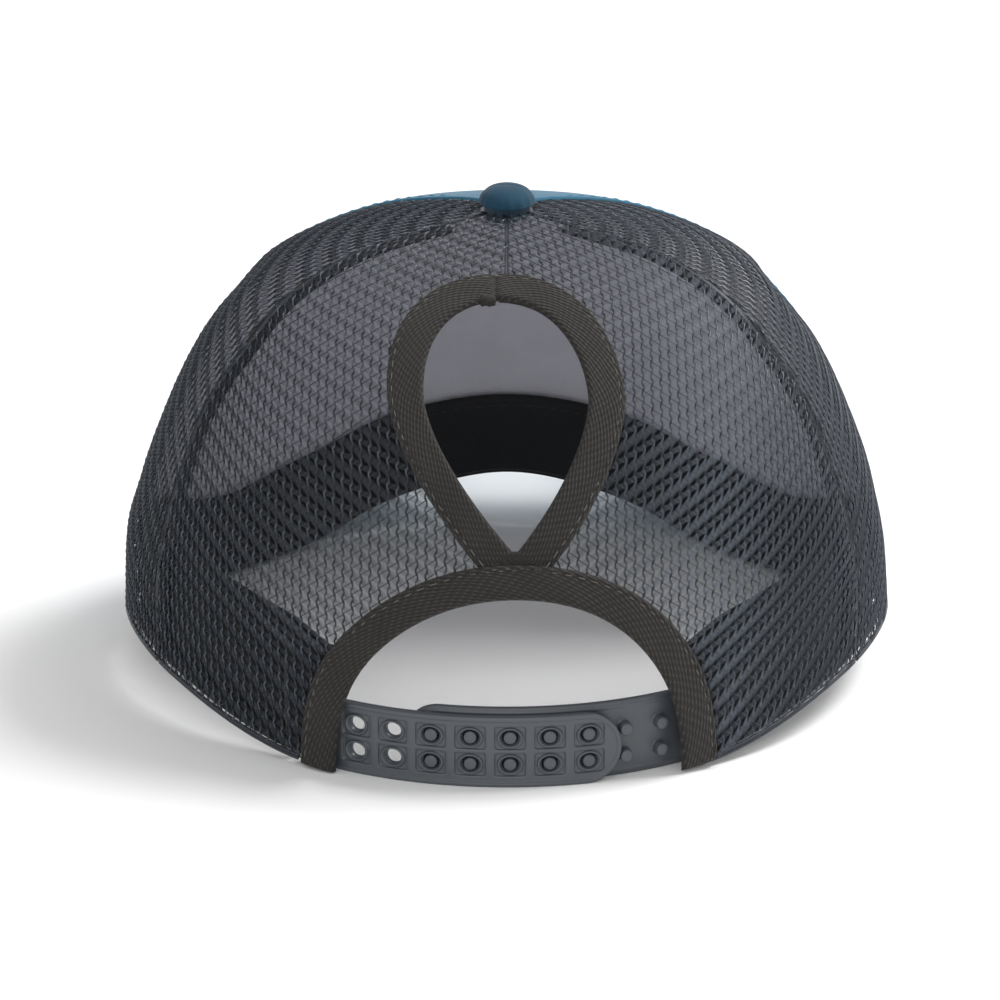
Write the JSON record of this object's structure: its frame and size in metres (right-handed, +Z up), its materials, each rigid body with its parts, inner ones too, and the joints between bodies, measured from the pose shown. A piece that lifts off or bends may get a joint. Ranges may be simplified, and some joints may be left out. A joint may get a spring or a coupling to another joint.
{
  "type": "trucker cap",
  "caption": "Trucker cap with net crown panels, a tape-bound ponytail opening, an arched back with a plastic snap strap, an inner sweatband and a curved peak.",
  "frame": {"origin": "on the ground under the middle of the whole cap, peak included", "axes": "+Z up, +Y towards the peak, -Y towards the snap strap, +X to the right seen from behind"},
  "size_m": [0.185, 0.2428, 0.1175],
  "materials": {
    "front_cloth": "teal woven cloth",
    "lining_cloth": "grey stiff lining",
    "net": "dark slate polyester net with a slight sheen",
    "tape": "charcoal twill tape",
    "sweatband_cloth": "near black matt cloth",
    "strap_plastic": "slate grey plastic with a soft sheen"
  },
  "bodies": {
    "root": {"front_panel": "front_cloth", "front_lining": "lining_cloth", "side_mesh_left": "net", "side_mesh_right": "net", "back_mesh_left": "net", "back_mesh_right": "net", "seam_tape_left": "tape", "seam_tape_right": "tape", "sweatband": "sweatband_cloth", "ponytail_binding": "tape", "arch_binding": "tape", "crown_button": "front_cloth", "peak": "front_cloth", "snap_strap_holes": "strap_plastic", "snap_strap_pegs": "strap_plastic"}
  },
  "joints": []
}
